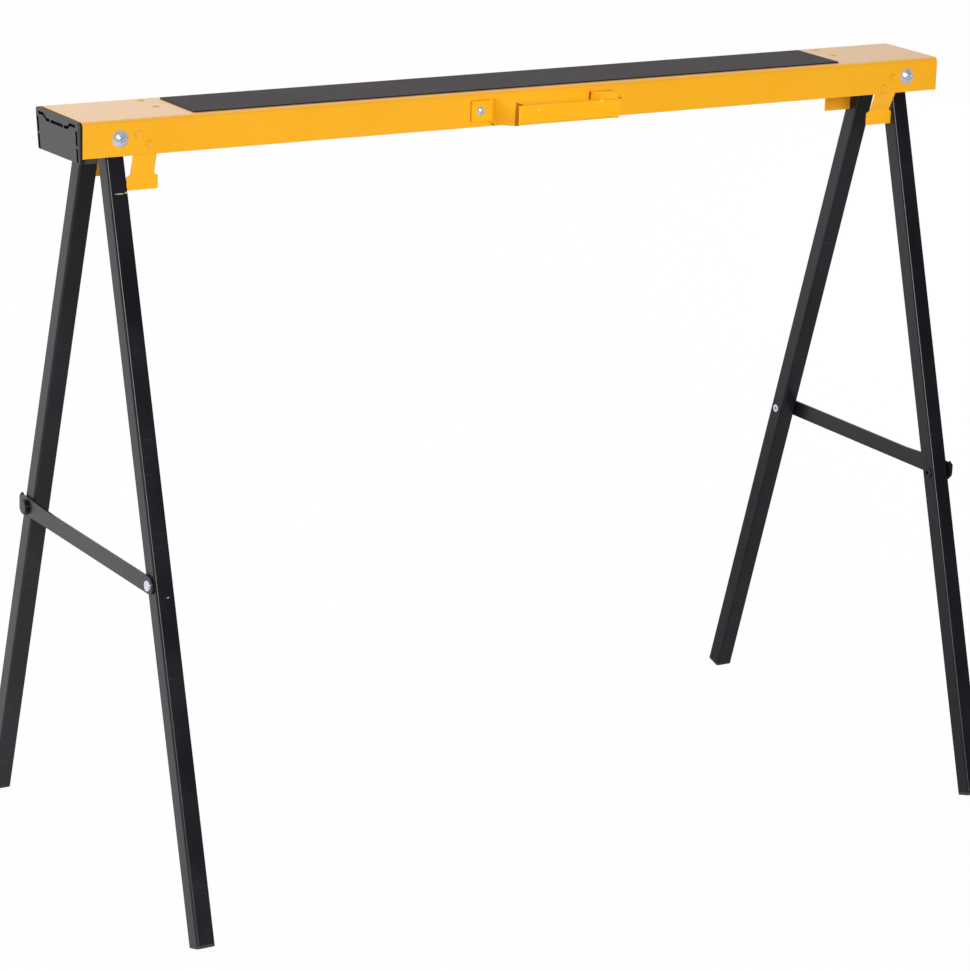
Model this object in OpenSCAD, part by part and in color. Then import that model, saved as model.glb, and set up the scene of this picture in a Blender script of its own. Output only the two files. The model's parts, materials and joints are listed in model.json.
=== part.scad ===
// Folding sawhorse: a folded sheet beam on two pairs of hinged legs.
// X runs along the beam, the handle side faces -Y and the ground is Z = 0.
// Each pair of legs splays on one cross bolt, is tied by a hooked brace, and folds into the beam.

/* [Beam] */
// Length of the beam
beam_l = 1000; // [860:1:1300]
// Width of the beam
beam_w = 96.6; // [94:0.1:120]
// Height of the beam's side walls
beam_h = 34.6; // [33:0.1:45]
// Sheet thickness of the beam
beam_t = 1.2; // [1:0.1:2]
// Outer radius of the beam's folded edges
beam_r = 5; // [3:0.5:8]
// Height of the beam's top above the ground
top_z = 768; // [650:1:850]

/* [Pad] */
// Length of the non-slip pad
pad_l = 757; // [400:1:760]
// Width of the pad
pad_w = 75; // [50:1:80]
// Thickness of the pad
pad_t = 1.2; // [1:0.1:4]
// Corner radius of the pad
pad_r = 3; // [1:0.5:10]

/* [Pad rivets] */
// Distance from the pad's end to its row of rivets
pad_rivet_out = 21.5; // [8:0.5:24]
// Distance of a row's first rivet from the beam's centre line
pad_rivet_y = 2; // [-20:0.5:12]
// Distance between the two rivets of a row
pad_rivet_pitch = 33; // [14:1:34]
// Head diameter of the pad rivets
pad_rivet_d = 7.5; // [5:0.5:9]
// Shank diameter of the pad rivets
pad_rivet_shank = 3.2; // [2.4:0.1:4]
// Head height of the pad rivets
pad_rivet_h = 1.2; // [0.5:0.1:1.5]

/* [End caps] */
// How far the left cap stands out past the beam's end
cap_out = 5.2; // [4.6:0.1:7]
// How much further the left cap stands out at the rear than at the front
cap_skew = 2.5; // [0:0.1:2.6]
// How much further the left cap stands out at the top than at the bottom
cap_tip = 1.9; // [0:0.1:2]
// How far the right cap, which is pushed home, stands out
cap_home = 0.9; // [0.8:0.1:4]
// How far the right cap's edge lies inside the beam's outline
cap_home_in = 0.8; // [0:0.1:0.9]
// How far the left cap hangs below the beam's walls
cap_drop = 5; // [1:0.1:6]
// Rounding of a cap's outer edge
cap_round = 1.8; // [1:0.1:2]
// Width of the shadow gap between the left cap and the beam
cap_seam = 1; // [0.4:0.1:1.2]
// Depth of the collar inside the beam
cap_collar = 16; // [8:0.5:18]
// Wall thickness of the collar
cap_wall = 2; // [1.5:0.1:3]
// Gap between the collar and the beam
cap_fit = 0.2; // [0.1:0.05:0.4]
// Width of the slots in a cap's face
cap_slot = 1.9; // [1:0.1:2.2]
// Depth of the slots
cap_slot_deep = 3; // [1:0.1:3.2]
// Distance from a cap's side to its upright slots
cap_slot_in = 4.8; // [4.2:0.1:8]
// Distance from a cap's top to its outer top slots
cap_slot_down = 6; // [4.4:0.1:8]
// Bridge left between two slots
cap_bridge = 3; // [2:0.1:5]
// Length of the slot in the middle of the top row
cap_mid = 27; // [16:1:34]
// How much lower the middle of the top row lies
cap_step = 4.2; // [2:0.1:6]

/* [Handle] */
// Distance of the handle's centre from the beam's centre
handle_x = 5.5; // [-40:0.5:40]
// Distance between the outer faces of the handle's risers
handle_l = 121; // [90:1:180]
// Length of each foot of the handle
handle_foot = 22.8; // [16:0.1:30]
// Height of the feet
handle_foot_h = 20.8; // [16:0.1:24]
// Height of the risers at the beam
handle_riser_h = 26.2; // [18:0.1:28]
// Height of the risers at the grip
handle_riser_end_h = 23.6; // [18:0.1:28]
// How much lower than the feet the risers start
handle_drop = 1.4; // [0:0.1:2]
// Height of the grip
handle_grip_h = 19.5; // [14:0.1:24]
// How far the grip stands out from the beam
handle_out = 55.5; // [36:0.5:64]
// Upward slope of the risers in degrees
handle_tilt = 6.8; // [0:0.1:10]
// Thickness of the handle's strip
handle_t = 2.4; // [1.5:0.1:4]
// Inner radius of the handle's bends
handle_r = 3; // [1:0.5:6]
// Height of the handle's foot above the beam's lower edge
handle_up = 6; // [3:0.1:8]

/* [Handle screws] */
// Shank diameter of the handle screws
screw_d = 5; // [4:0.5:6]
// Head diameter of the handle screws
screw_head_d = 10; // [7:0.1:12]
// Head height of the handle screws
screw_head_h = 2.8; // [1.5:0.1:4]
// Width across the flats of the screws' nuts
nut_af = 8; // [7:0.5:10]
// Height of the screws' nuts
nut_h = 3.6; // [2.5:0.1:4]
// Gap around a screw in its holes
screw_fit = 0.1; // [0.05:0.05:0.3]

/* [Pivot bolts] */
// Distance of a pivot bolt from the beam's end
bolt_in = 39.2; // [34:0.1:60]
// Depth of a pivot bolt below the beam's top
bolt_down = 17.9; // [17:0.1:20]
// Diameter of the pivot bolts
bolt_d = 8; // [6:0.5:9]
// Head diameter of the pivot bolts
bolt_head_d = 19; // [14:0.5:21]
// Head height of the pivot bolts
bolt_head_h = 4.6; // [3:0.1:6]
// Width across the flats of the pivot nuts
bolt_nut_af = 13; // [10:0.5:15]
// Height of the pivot nuts with their flange
bolt_nut_h = 8; // [6:0.5:9]
// Thickness of the nuts' flange
bolt_flange_t = 1.6; // [1:0.1:2.5]
// Gap around a bolt in the beam and in its bush
bolt_fit = 0.1; // [0.05:0.01:0.2]
// Wall thickness of the sliding bush
bush_wall = 1.5; // [1:0.1:2]
// Wall thickness of the swivel spacer
spacer_wall = 1.45; // [1:0.05:2]
// Running gap between the bush and the spacer
bush_fit = 0.05; // [0.03:0.01:0.1]

/* [Legs] */
// Width of the square leg tubes
leg_w = 19.4; // [16:0.1:20]
// Wall thickness of the leg tubes
leg_t = 1.3; // [1:0.1:2]
// Corner radius of the leg tubes
leg_r = 2.5; // [1.5:0.1:4]
// Angle of each leg from upright
splay = 16.4; // [12:0.1:18]
// Length of a leg above its bolt
leg_up = 11; // [9.5:0.1:12]
// Gap between neighbouring legs when folded
leg_side_gap = 0.8; // [0.6:0.1:3]
// Gap between a leg's slot and the bolt
slot_fit = 0.35; // [0.2:0.05:0.6]

/* [Feet] */
// Thickness of a foot's sole
sole_t = 3; // [2:0.1:6]
// Depth of the foot's plug in the tube
plug_l = 18; // [8:1:30]
// Wall thickness of the plug
plug_wall = 2; // [1:0.1:3]
// Gap between the plug and the tube
plug_fit = 0.1; // [0.05:0.05:0.3]
// Height worn flat where a sole meets the ground
sole_flat = 0.6; // [0.2:0.1:1.5]

/* [Braces] */
// Height of the braces above the ground
brace_z = 337; // [300:1:420]
// Width of a brace
brace_h = 17; // [14:0.5:20]
// Thickness of a brace
brace_t = 2.5; // [2:0.1:3]
// Gap between a brace and the legs
brace_gap = 0.3; // [0.2:0.05:0.6]
// Length of the hook past its stud
hook_end = 16; // [12:0.5:20]
// Height of the hook's thumb lip
hook_lip = 1.8; // [1:0.1:4]
// Slope of the hook's slot from upright in degrees
hook_slope = 29; // [24:0.5:34]
// Gap around the stud in the hook's slot
hook_fit = 0.4; // [0.2:0.05:0.6]

/* [Brace rivets and studs] */
// Shank diameter of a brace rivet
rivet_d = 6; // [4:0.5:8]
// Head diameter of a brace rivet
rivet_head_d = 10.5; // [9:0.5:13]
// Head height of a brace rivet
rivet_head_h = 2.2; // [1.2:0.1:2.6]
// Diameter of the rivet's rolled tail
rivet_tail_d = 8.6; // [7.5:0.1:12]
// Gap around the rivet in the brace
rivet_fit = 0.08; // [0.03:0.01:0.1]
// Shank diameter of a hook stud
stud_d = 7; // [5:0.5:8]
// Diameter of the round stud nut
stud_nut_d = 15; // [12:0.5:16]
// Diameter of the stud's rolled tail
stud_tail_d = 12; // [9:0.5:14]
// Height of the stud's rolled tail
stud_tail_h = 1.2; // [0.8:0.1:3]
// Height of the round stud nut
stud_nut_h = 3.7; // [2:0.1:4.4]
// Play of the hook under the stud nut
stud_play = 0.35; // [0.3:0.05:0.8]
// Gap around rivets and studs in their own holes
set_fit = 0.05; // [0.02:0.01:0.1]

/* [Latches] */
// Thickness of the spring plates
latch_t = 1.2; // [0.8:0.1:1.5]
// Width of a latch's neck
latch_neck_w = 24.8; // [18:0.1:30]
// Width of a latch's ear
latch_ear_w = 33; // [26:0.1:40]
// Length of the neck below the beam
latch_drop = 20; // [16:0.5:26]
// Height of the ear
latch_ear_h = 15.2; // [10:0.1:20]
// How far the necks lean in under the beam
latch_lean = 10; // [8:0.5:13]
// How far the neck of the left front latch leans in
latch_lean_left = 4; // [3:0.5:13]
// Chamfer of the ear's shoulders
latch_chamfer = 4; // [1:0.5:6]
// Gap between the ear and the leg that it blocks
latch_gap = 0.6; // [0.5:0.1:3]
// Height of the root plate on the wall
latch_root_h = 25; // [18:0.5:27]

/* [Latch rivets] */
// Head diameter of the latch rivets
latch_rivet_d = 8; // [6:0.5:9]
// Head height of the latch rivets
latch_rivet_h = 0.7; // [0.3:0.1:1.2]
// Shank diameter of the latch rivets
latch_shank = 4; // [3:0.5:5]
// Spacing of the two rivets along the beam
latch_rivet_dx = 11.5; // [9:0.5:14]
// Distance of the pair of rivets from the latch's middle, towards the bolt
latch_rivet_in = 2.9; // [0:0.1:3.2]
// Spacing of the two rivets in height
latch_rivet_dz = 10.5; // [8:0.5:13]

/* [Hidden] */
$fn = 48;
eps = 0.01;

paint = "#f5b32f";
black_paint = "#2b2a2e";
black_plastic = "#55545a";
rubber = "#4b484c";
zinc = "#c9ccd2";

// Beam
low_z = top_z - beam_h;
wall_y = beam_w / 2;
wall_in = wall_y - beam_t;
roof_z = top_z - beam_t;
// Pivot of the left pair of legs
bolt_x = bolt_in - beam_l / 2;
bolt_z = top_z - bolt_down;
bolt_hole = bolt_d + 2 * bolt_fit;
// Legs lie side by side at one pitch when folded, so a pair stands two pitches apart
pitch = leg_w + leg_side_gap;
leg_half = leg_w / 2;
slot_reach = leg_half * tan(splay);
slot_d = bolt_d + 2 * slot_fit;
sole_end = (bolt_z - leg_half * sin(splay) + sole_flat) / cos(splay);
tube_end = sole_end - sole_t;
// Parts on the bolt between a pair of legs
bush_d = bolt_hole + 2 * bush_wall;
spacer_in = bush_d + 2 * bush_fit;
spacer_d = spacer_in + 2 * spacer_wall;
leg_face = pitch - leg_half / cos(splay);
spacer_half = leg_face - spacer_d / 2 * tan(splay) - 0.3;
bush_half = leg_face - bush_d / 2 * tan(splay) - 0.3;
// Braces
brace_r = (bolt_z - brace_z) / cos(splay);
brace_y = pitch + brace_r * sin(splay);
brace_span = 2 * brace_y;
brace_in = leg_half + brace_gap;
brace_out = brace_in + brace_t;
// Handle
foot_z0 = low_z + handle_up;
foot_zc = foot_z0 + handle_foot_h / 2;
screw_x = handle_l / 2 + handle_foot * 0.54;
// End caps: the seam is cut in by this share of the beam's sheet
cap_seam_in = 0.75;
// Thickness of the straight rims of a cap's plate
cap_rim = 0.2;
// Width of the cap's walls below the beam
cap_hang_w = beam_t + cap_fit + cap_wall;
// Latches
ear_x = bolt_x + leg_half + latch_gap + latch_ear_w / 2;
latch_rivet_z = low_z + latch_root_h / 2;

// The right end is the left end turned half way round
module right_end() { rotate([0, 0, 180]) children(); }

// Square with rounded corners, centred
module rounded(w, h, r) {
    square([w - 2 * r, h], center = true);
    square([w, h - 2 * r], center = true);
    for (x = [-1, 1], y = [-1, 1]) translate([x * (w / 2 - r), y * (h / 2 - r)]) circle(r);
}

// Cylinder along +Y from y0 to y1
module rod_y(d, y0, y1) { translate([0, y0, 0]) rotate([-90, 0, 0]) cylinder(d = d, h = y1 - y0); }

// Cylinder along +X from x0 to x1
module rod_x(d, x0, x1) { translate([x0, 0, 0]) rotate([0, 90, 0]) cylinder(d = d, h = x1 - x0); }

// Round head on the XY plane: a low dome that rises to h
module dome(d, h) {
    r = (d * d / 4 + h * h) / (2 * h);
    intersection() {
        cylinder(d = d, h = h);
        translate([0, 0, h - r]) sphere(r, $fn = 64);
    }
}

// Flat round head on the XY plane with a chamfered edge
module flat_head(d, h) {
    edge = h * 0.16;
    cylinder(d = d, h = h - edge);
    translate([0, 0, h - edge]) cylinder(d1 = d, d2 = d - 2 * edge, h = edge);
}

// Shape of the beam's cross-section, open below
module beam_outline(w, h, r) {
    translate([-w / 2, -h]) square([w, h - r]);
    translate([-w / 2 + r, -h]) square([w - 2 * r, h]);
    for (s = [-1, 1]) translate([s * (w / 2 - r), -r]) circle(r);
}

// Stands a YZ outline up and runs it along X
module along_x(x0, x1) { translate([x0, 0, 0]) rotate([90, 0, 90]) linear_extrude(x1 - x0) children(); }

module beam_channel() {
    color(paint) difference() {
        translate([0, 0, top_z]) along_x(-beam_l / 2, beam_l / 2) difference() {
            beam_outline(beam_w, beam_h, beam_r);
            translate([0, -beam_t]) beam_outline(beam_w - 2 * beam_t, beam_h, beam_r - beam_t);
        }
        for (s = [-1, 1]) translate([s * bolt_x, 0, bolt_z]) rod_y(bolt_hole, -beam_w, beam_w);
        for (s = [-1, 1]) translate([handle_x + s * screw_x, 0, foot_zc]) rod_y(screw_d + 2 * screw_fit, -beam_w, 0);
        at_pad_rivets() translate([0, 0, -beam_h / 2]) cylinder(d = pad_rivet_shank + 2 * set_fit, h = beam_h);
        latch_holes();
        right_end() latch_holes();
    }
}

// Places the two rivets at each end of the pad
module at_pad_rivets() {
    for (s = [-1, 1], y = [pad_rivet_y, pad_rivet_y + pad_rivet_pitch])
        translate([s * (pad_l / 2 + pad_rivet_out), y, top_z]) children();
}

module grip_pad() {
    color(rubber) translate([0, 0, top_z]) linear_extrude(pad_t) rounded(pad_l, pad_w, pad_r);
}

module pad_rivets() {
    tail = 1;
    color(paint) at_pad_rivets() {
        dome(pad_rivet_d, pad_rivet_h);
        translate([0, 0, -beam_t - eps]) cylinder(d = pad_rivet_shank, h = beam_t + 2 * eps);
        translate([0, 0, -beam_t - tail]) cylinder(d = pad_rivet_shank * 1.5, h = tail);
    }
}

// Shears a cap's outer layers so that it sits askew
module askew(skew, tip) {
    multmatrix([[1, -skew / beam_w, -tip / beam_h, -tip / 2], [0, 1, 0, 0], [0, 0, 1, 0], [0, 0, 0, 1]]) children();
}

// A cap's face plate, rounded towards the outside, in layers that step in
module cap_plate(out, round, drop, seam, skew, tip, inset) {
    steps = 5;
    flat = out - round;
    hull() {
        along_x(-seam - cap_rim, -seam) cap_outline(inset, drop);
        askew(skew, tip) {
            along_x(-flat, cap_rim - flat) cap_outline(inset, drop);
            for (i = [1:steps]) {
                a = 90 * i / steps;
                along_x(-flat - round * sin(a), -flat) cap_outline(inset + round * (1 - cos(a)), drop);
            }
        }
    }
}

module cap_outline(inset, drop) {
    translate([0, -inset]) beam_outline(beam_w - 2 * inset, beam_h + drop - 2 * inset, beam_r, $fn = 32);
}

// Slots in a cap's face: one stepped row on top and two down each side
module cap_slots(drop) {
    side = beam_w / 2 - cap_slot_in;
    side_top = -cap_slot_down - cap_bridge;
    side_end = cap_round - beam_h - drop;
    side_mid = (side_top + side_end) / 2;
    high = -cap_slot_down;
    low = high - cap_step;
    inner = cap_mid / 2 + cap_bridge;
    run = (side - inner) / 4;
    for (s = [-1, 1]) {
        slot_bar(s * side, side_top, s * side, side_mid + cap_bridge / 2);
        slot_bar(s * side, side_mid - cap_bridge / 2, s * side, side_end);
        slot_bar(s * (side - cap_bridge), high, s * (inner + 2 * run), high);
        slot_bar(s * (inner + 2 * run), high, s * (inner + run), low);
        slot_bar(s * (inner + run), low, s * inner, low);
    }
    slot_bar(-cap_mid / 2, low, cap_mid / 2, low);
}

// Straight slot between two points with square ends
module slot_bar(y0, z0, y1, z1) {
    len = norm([y1 - y0, z1 - z0]);
    translate([y0, z0]) rotate(atan2(z1 - z0, y1 - y0))
        translate([-cap_slot / 2, -cap_slot / 2]) square([len + cap_slot, cap_slot]);
}

module end_cap(out, round, drop, seam, skew, tip, inset, deep) {
    collar_w = beam_w - 2 * beam_t - 2 * cap_fit;
    collar_r = beam_r - beam_t;
    color(black_plastic) translate([-beam_l / 2, 0, top_z]) {
        difference() {
            union() {
                cap_plate(out, round, drop, seam, skew, tip, inset);
                along_x(-seam - cap_rim, 0) cap_outline(beam_t * cap_seam_in, drop);
            }
            askew(skew, tip) along_x(-out - 1, deep - out) cap_slots(drop);
        }
        translate([0, 0, -beam_t - cap_fit]) along_x(-cap_rim, cap_collar) difference() {
            beam_outline(collar_w, beam_h + drop - beam_t - cap_fit, collar_r);
            translate([0, -cap_wall]) beam_outline(collar_w - 2 * cap_wall, beam_h + drop, collar_r - cap_wall / 2);
        }
        if (drop > 0) hanging_walls(drop);
    }
}

// Side walls of a cap that is not pushed home, seen below the beam's walls
module hanging_walls(drop) {
    for (s = [-1, 1]) translate([0, s * (wall_y - cap_hang_w / 2), -beam_h - drop])
        translate([-cap_rim, -cap_hang_w / 2, 0]) cube([cap_collar, cap_hang_w, drop - cap_fit]);
}

// Handle strip seen from above: feet on the wall, two risers and the grip
module handle_plan() {
    half = handle_l / 2;
    out = handle_out;
    t = handle_t;
    ro = handle_r + t;
    translate([-half + ro, t - out]) square([handle_l - 2 * ro, t], center = false);
    for (s = [0, 1]) mirror([s, 0]) {
        translate([-half, t + ro - out]) square([t, out - t - 2 * ro]);
        translate([-half - handle_foot, -t]) square([handle_foot - handle_r, t]);
        bend(-half + ro, t + ro - out, 180);
        bend(-half - handle_r, -ro, 0);
    }
}

// Quarter bend of the strip about a centre, starting at angle a
module bend(x, y, a) {
    ro = handle_r + handle_t;
    translate([x, y]) rotate(a) intersection() {
        difference() {
            circle(ro);
            circle(handle_r);
        }
        square(ro + 1);
    }
}

// Handle strip seen from the end: the risers start low, slope up and taper to the grip
module handle_side() {
    lift = tan(handle_tilt);
    flare = handle_t + handle_r;
    neck = handle_out - handle_t - handle_r;
    foot = handle_foot_h / 2;
    grip = handle_grip_h / 2;
    near_z = lift * flare - handle_drop;
    far_z = lift * neck - handle_drop;
    grip_z = lift * handle_out - handle_drop;
    near = handle_riser_h / 2;
    far = handle_riser_end_h / 2;
    translate([0, foot_zc]) polygon([
        [1, -foot], [-handle_t, -foot], [-flare, near_z - near], [-neck, far_z - far],
        [-neck - handle_r, grip_z - grip], [-handle_out - 1, grip_z - grip],
        [-handle_out - 1, grip_z + grip], [-neck - handle_r, grip_z + grip],
        [-neck, far_z + far], [-flare, near_z + near], [-handle_t, foot], [1, foot]
    ]);
}

module handle() {
    color(paint) translate([handle_x, -wall_y, 0]) difference() {
        intersection() {
            linear_extrude(top_z + 50) handle_plan();
            along_x(-handle_l, handle_l) handle_side();
        }
        for (s = [-1, 1]) translate([s * screw_x, 0, foot_zc]) rod_y(screw_d + 2 * screw_fit, -10, 10);
    }
}

// Cross recess for a driver, cut down from z = 0
module cross_recess(w, deep) {
    for (a = [0, 90]) rotate(a) translate([-w / 2, -w / 8, -deep]) cube([w, w / 4, deep + 5]);
}

module handle_screw(s) {
    seat = -wall_y - handle_t;
    color(zinc) translate([handle_x + s * screw_x, 0, foot_zc]) {
        rod_y(screw_d, seat - eps, -wall_in + nut_h + 1);
        translate([0, seat, 0]) rotate([90, 0, 0]) difference() {
            dome(screw_head_d, screw_head_h);
            translate([0, 0, screw_head_h]) cross_recess(screw_head_d * 0.5, screw_head_h * 0.5);
        }
    }
}

module handle_nuts() {
    color(zinc) for (s = [-1, 1]) translate([handle_x + s * screw_x, -wall_in, foot_zc])
        rotate([-90, 0, 0]) difference() {
            cylinder(d = nut_af / cos(30), h = nut_h, $fn = 6);
            translate([0, 0, -1]) cylinder(d = screw_d + 2 * set_fit, h = nut_h + 2);
        }
}

module pivot_bolt(x) {
    color(zinc) translate([x, 0, bolt_z]) {
        rod_y(bolt_d, -wall_y - eps, wall_y + bolt_nut_h + 1);
        translate([0, -wall_y, 0]) rotate([90, 0, 0]) difference() {
            dome(bolt_head_d, bolt_head_h);
            translate([0, 0, bolt_head_h]) rotate(20) cross_recess(bolt_head_d * 0.45, bolt_head_h * 0.5);
        }
    }
}

module pivot_nut(x) {
    color(zinc) translate([x, wall_y, bolt_z]) rotate([-90, 0, 0]) difference() {
        union() {
            cylinder(d = bolt_nut_af + 4, h = bolt_flange_t);
            cylinder(d = bolt_nut_af / cos(30), h = bolt_nut_h, $fn = 6);
        }
        translate([0, 0, -1]) cylinder(d = bolt_d + 2 * set_fit, h = bolt_nut_h + 2);
    }
}

// Ring on the left pivot bolt
module bolt_ring(d_out, d_in, half) {
    translate([bolt_x, 0, bolt_z]) difference() {
        rod_y(d_out, -half, half);
        rod_y(d_in, -half - 1, half + 1);
    }
}

module bush() { color(black_plastic) bolt_ring(bush_d, bolt_hole, bush_half); }

module spacer() { color(black_plastic) bolt_ring(spacer_d, spacer_in, spacer_half); }

// Places a leg's own frame: origin on the bolt, tube down -Z, s = -1 for the leg nearer -Y
module on_leg(s) { translate([bolt_x, s * pitch, bolt_z]) rotate([s * splay, 0, 0]) children(); }

module leg(s, cross_d) {
    color(black_paint) on_leg(s) difference() {
        translate([0, 0, -tube_end]) linear_extrude(tube_end + leg_up) difference() {
            rounded(leg_w, leg_w, leg_r);
            rounded(leg_w - 2 * leg_t, leg_w - 2 * leg_t, leg_r - leg_t);
        }
        for (z = [-slot_reach, slot_reach]) translate([0, 0, z]) rod_y(slot_d, -leg_w, leg_w);
        translate([-slot_d / 2, -leg_w, -slot_reach]) cube([slot_d, 2 * leg_w, 2 * slot_reach]);
        translate([0, 0, -brace_r]) rod_x(cross_d + 2 * set_fit, -leg_w, leg_w);
    }
}

module foot(s) {
    plug_w = leg_w - 2 * leg_t - 2 * plug_fit;
    plug_r = leg_r - leg_t;
    color(black_plastic) difference() {
        on_leg(s) translate([0, 0, -sole_end]) {
            linear_extrude(sole_t) rounded(leg_w, leg_w, leg_r);
            translate([0, 0, sole_t]) linear_extrude(plug_l) difference() {
                rounded(plug_w, plug_w, plug_r);
                rounded(plug_w - 2 * plug_wall, plug_w - 2 * plug_wall, plug_r / 2);
            }
        }
        translate([bolt_x - leg_w, -beam_l, -leg_w]) cube([2 * leg_w, 2 * beam_l, leg_w]);
    }
}

// Brace outline in its own plane: pivot at the origin, hook stud at (brace_span, 0)
module brace_outline() {
    half = brace_h / 2;
    tip = brace_span + hook_end;
    corner = half * 0.7;
    lip = hook_lip + 1.6;
    difference() {
        union() {
            circle(half);
            translate([0, -half]) square([tip - corner, brace_h]);
            translate([tip - corner, corner - half]) square([corner, brace_h - corner]);
            translate([tip - corner, corner - half]) circle(corner);
            translate([tip - lip, half - lip]) square([lip, lip]);
            translate([tip - lip, half + hook_lip - lip]) circle(lip);
        }
        circle(d = rivet_d + 2 * rivet_fit);
        translate([brace_span, 0]) rotate(-hook_slope) {
            circle(d = stud_d + 2 * hook_fit);
            translate([-stud_d / 2 - hook_fit, -brace_h]) square([stud_d + 2 * hook_fit, brace_h]);
        }
    }
}

module brace() {
    color(black_paint) translate([0, -brace_y, brace_z])
        along_x(bolt_x - brace_out, bolt_x - brace_in) brace_outline();
}

module brace_rivet() {
    tail = 1;
    color(zinc) on_leg(-1) translate([0, 0, -brace_r]) difference() {
        union() {
            rod_x(rivet_d, -brace_out - 0.1 - eps, leg_half + tail);
            rod_x(rivet_tail_d, leg_half, leg_half + tail);
            translate([-brace_out - 0.1, 0, 0]) rotate([0, -90, 0]) flat_head(rivet_head_d, rivet_head_h);
        }
        rod_x(rivet_d * 0.6, 0, leg_w);
    }
}

module hook_stud() {
    color(black_paint) on_leg(1) translate([0, 0, -brace_r]) difference() {
        union() {
            rod_x(stud_d, -brace_out - stud_play - stud_nut_h * 0.6, leg_half + eps);
            translate([leg_half, 0, 0]) rotate([0, 90, 0]) flat_head(stud_tail_d, stud_tail_h);
        }
        rod_x(stud_d * 0.6, 0, leg_w);
    }
}

module stud_nut() {
    bore = stud_d + 2 * set_fit;
    color(black_paint) on_leg(1) translate([-brace_out - stud_play, 0, -brace_r]) rotate([0, -90, 0]) difference() {
        flat_head(stud_nut_d, stud_nut_h);
        translate([0, 0, -1]) cylinder(d = bore, h = stud_nut_h * 0.6 + 1 + set_fit);
    }
}

// Places the two rivets of a latch on the wall at side s
module at_latch_rivets(s) {
    for (k = [-1, 1])
        translate([ear_x + k * latch_rivet_dx / 2 - latch_rivet_in, s * wall_y,
                   latch_rivet_z - k * latch_rivet_dz / 2])
            rotate([-90 * s, 0, 0]) children();
}

module latch_holes() {
    for (s = [-1, 1]) at_latch_rivets(s)
        translate([0, 0, -wall_y / 2]) cylinder(d = latch_shank + 2 * set_fit, h = wall_y);
}

module latch_rivets(s) {
    depth = beam_t + latch_t;
    color(paint) at_latch_rivets(s) {
        difference() {
            flat_head(latch_rivet_d, latch_rivet_h);
            translate([0, 0, latch_rivet_h / 2]) cylinder(d = latch_shank, h = latch_rivet_h);
        }
        translate([0, 0, -depth - eps]) cylinder(d = latch_shank, h = depth + 2 * eps);
        translate([0, 0, -depth - 1]) cylinder(d = latch_shank * 1.5, h = 1);
    }
}

module latch_root(s) {
    color(paint) difference() {
        translate([ear_x - latch_neck_w / 2, s > 0 ? wall_in - latch_t : -wall_in, low_z])
            cube([latch_neck_w, latch_t, latch_root_h]);
        at_latch_rivets(s) translate([0, 0, -wall_y / 2]) cylinder(d = latch_shank + 2 * set_fit, h = wall_y);
    }
}

// Latch blade seen along the beam: the neck leans in and the ear hangs straight
module latch_bend(lean) {
    tip = -latch_drop - latch_ear_h;
    slant = latch_t / cos(atan(lean / latch_drop));
    polygon([
        [0, 0], [lean, -latch_drop], [lean, tip],
        [lean + latch_t, tip], [lean + latch_t, -latch_drop], [slant, 0]
    ]);
}

// Latch blade seen from the side of the beam: neck and ear with sloping shoulders
module latch_face() {
    neck = latch_neck_w / 2;
    ear = latch_ear_w / 2;
    shoulder = -latch_drop;
    tip = shoulder - latch_ear_h;
    bevel = latch_chamfer / 4;
    polygon([
        [-neck, 1], [-neck, shoulder], [-ear, shoulder - latch_chamfer * 0.6], [-ear, tip + bevel],
        [bevel - ear, tip], [ear - bevel, tip], [ear, tip + bevel], [ear, shoulder - latch_chamfer * 0.6],
        [neck, shoulder], [neck, 1]
    ]);
}

module latch_blade(s, lean) {
    color(paint) translate([ear_x, s * wall_in, low_z]) mirror([0, s > 0 ? 1 : 0, 0]) intersection() {
        along_x(-latch_ear_w, latch_ear_w) latch_bend(lean);
        rotate([90, 0, 0]) linear_extrude(2 * beam_w, center = true) latch_face();
    }
}

beam_channel();
grip_pad();
pad_rivets();
end_cap(cap_out, cap_round, cap_drop, cap_seam, cap_skew, cap_tip, 0, cap_slot_deep);  // end_cap_left
right_end() end_cap(cap_home, cap_home / 2, 0, 0, 0, 0, cap_home_in, cap_home * 0.6);  // end_cap_right
handle();
handle_screw(-1);  // handle_screw_left
handle_screw(1);  // handle_screw_right
handle_nuts();
pivot_bolt(bolt_x);  // pivot_bolt_left
pivot_bolt(-bolt_x);  // pivot_bolt_right
pivot_nut(bolt_x);  // pivot_nut_left
pivot_nut(-bolt_x);  // pivot_nut_right
bush();  // bush_left
right_end() bush();  // bush_right
spacer();  // spacer_left
right_end() spacer();  // spacer_right
leg(-1, rivet_d);  // leg_left_front
leg(1, stud_d);  // leg_left_rear
right_end() leg(1, stud_d);  // leg_right_front
right_end() leg(-1, rivet_d);  // leg_right_rear
foot(-1);  // foot_left_front
foot(1);  // foot_left_rear
right_end() foot(1);  // foot_right_front
right_end() foot(-1);  // foot_right_rear
brace();  // brace_left
right_end() brace();  // brace_right
brace_rivet();  // brace_rivet_left
right_end() brace_rivet();  // brace_rivet_right
hook_stud();  // hook_stud_left
right_end() hook_stud();  // hook_stud_right
stud_nut();  // stud_nut_left
right_end() stud_nut();  // stud_nut_right
latch_root(-1);  // latch_root_left_front
latch_root(1);  // latch_root_left_rear
right_end() latch_root(1);  // latch_root_right_front
right_end() latch_root(-1);  // latch_root_right_rear
latch_blade(-1, latch_lean_left);  // latch_blade_left_front
latch_blade(1, latch_lean);  // latch_blade_left_rear
right_end() latch_blade(1, latch_lean);  // latch_blade_right_front
right_end() latch_blade(-1, latch_lean);  // latch_blade_right_rear
latch_rivets(-1);  // latch_rivets_left_front
latch_rivets(1);  // latch_rivets_left_rear
right_end() latch_rivets(1);  // latch_rivets_right_front
right_end() latch_rivets(-1);  // latch_rivets_right_rear
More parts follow.
